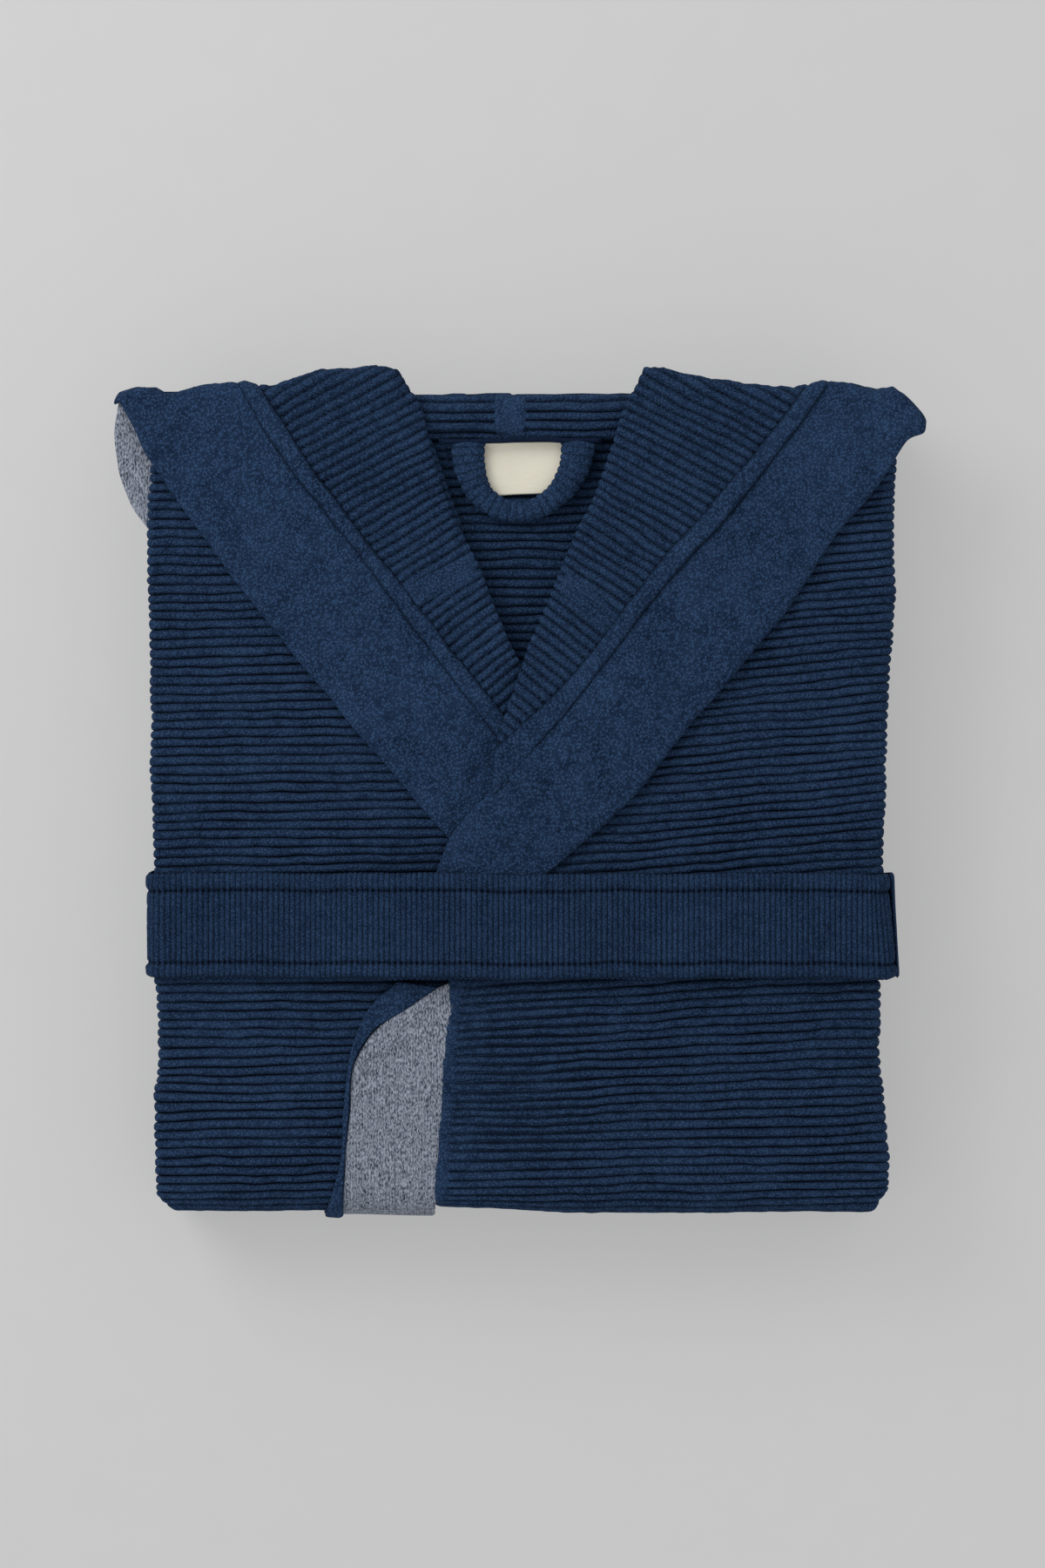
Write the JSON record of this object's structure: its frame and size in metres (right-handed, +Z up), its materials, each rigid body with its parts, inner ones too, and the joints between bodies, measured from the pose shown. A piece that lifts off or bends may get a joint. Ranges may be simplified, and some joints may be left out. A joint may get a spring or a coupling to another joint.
{
  "type": "folded hooded bathrobe",
  "caption": "Hooded ribbed terry bathrobe folded into a flat pack, collar turned back in a V, belt wrapped across, hang loop at the neck.",
  "frame": {"origin": "middle of the pack's underside", "axes": "+Y towards the neck end, +X to the viewer's right with the neck end up, +Z up from the surface it lies on"},
  "size_m": [0.408, 0.425, 0.0734],
  "materials": {
    "ribbed_terry": "navy ribbed terry, matt with a soft pile sheen",
    "plain_terry": "navy plain terry loops, matt",
    "belt_terry": "navy finely ribbed terry, topstitched",
    "seam_tape": "dark navy plain weave",
    "melange_reverse": "grey melange knit reverse of the cloth",
    "label_cloth": "blank cream satin label"
  },
  "bodies": {
    "pack": {"back_panel": "ribbed_terry", "belt_loop_left": "belt_terry", "belt_loop_right": "belt_terry", "cuff_left": "plain_terry", "cuff_right": "plain_terry", "front_left": "ribbed_terry", "front_right": "ribbed_terry", "hem": "plain_terry", "hood_centre_seam": "plain_terry", "hood_left": "ribbed_terry", "hood_right": "ribbed_terry", "lapel_band_left": "plain_terry", "lapel_band_right": "plain_terry", "lapel_left": "ribbed_terry", "lapel_ridge_left": "plain_terry", "lapel_ridge_right": "plain_terry", "lapel_right": "ribbed_terry", "neck_tape": "seam_tape", "pocket_left": "ribbed_terry", "pocket_right": "ribbed_terry", "shoulder_seam_left": "seam_tape", "shoulder_seam_right": "seam_tape", "sleeve_left": "ribbed_terry", "sleeve_right": "ribbed_terry"},
    "belt": {"belt_inner_turn": "belt_terry", "belt_outer_turn": "belt_terry", "belt_end": "belt_terry"},
    "collar_flap_left": {"collar_left": "ribbed_terry", "collar_ridge_left": "plain_terry", "collar_band_left": "plain_terry"},
    "collar_flap_right": {"collar_right": "ribbed_terry", "collar_ridge_right": "plain_terry", "collar_band_right": "plain_terry"},
    "loop": {"hang_loop": "ribbed_terry"},
    "label": {"neck_label": "label_cloth"},
    "facing": {"front_facing": "melange_reverse"}
  },
  "joints": [
    {"name": "belt_slide", "type": "slide", "parent": "pack", "child": "belt", "axis": [0, -1, 0], "range_m": [0, 0.18]},
    {"name": "collar_left_turn", "type": "hinge", "parent": "pack", "child": "collar_flap_left", "pos_m": [-0.022, 0.115, 0.0597], "axis": [-0.3426, 0.9395, 0], "range_deg": [0, 80]},
    {"name": "collar_right_turn", "type": "hinge", "parent": "pack", "child": "collar_flap_right", "pos_m": [0.02, 0.112, 0.0655], "axis": [-0.3511, -0.9363, 0], "range_deg": [0, 80]},
    {"name": "hang_loop_lift", "type": "hinge", "parent": "pack", "child": "loop", "pos_m": [0, 0.1697, 0.0572], "axis": [-1, 0, 0], "range_deg": [0, 130]},
    {"name": "label_lift", "type": "hinge", "parent": "pack", "child": "label", "pos_m": [0, 0.1697, 0.0534], "axis": [-1, 0, 0], "range_deg": [0, 55]},
    {"name": "facing_turn", "type": "hinge", "parent": "pack", "child": "facing", "pos_m": [-0.0373, -0.0958, 0.0652], "axis": [0.09, 0.9959, 0], "range_deg": [0, 120]}
  ],
  "couplings": [
    {"joint": "label_lift", "follows": "hang_loop_lift", "ratio": 0.4}
  ]
}
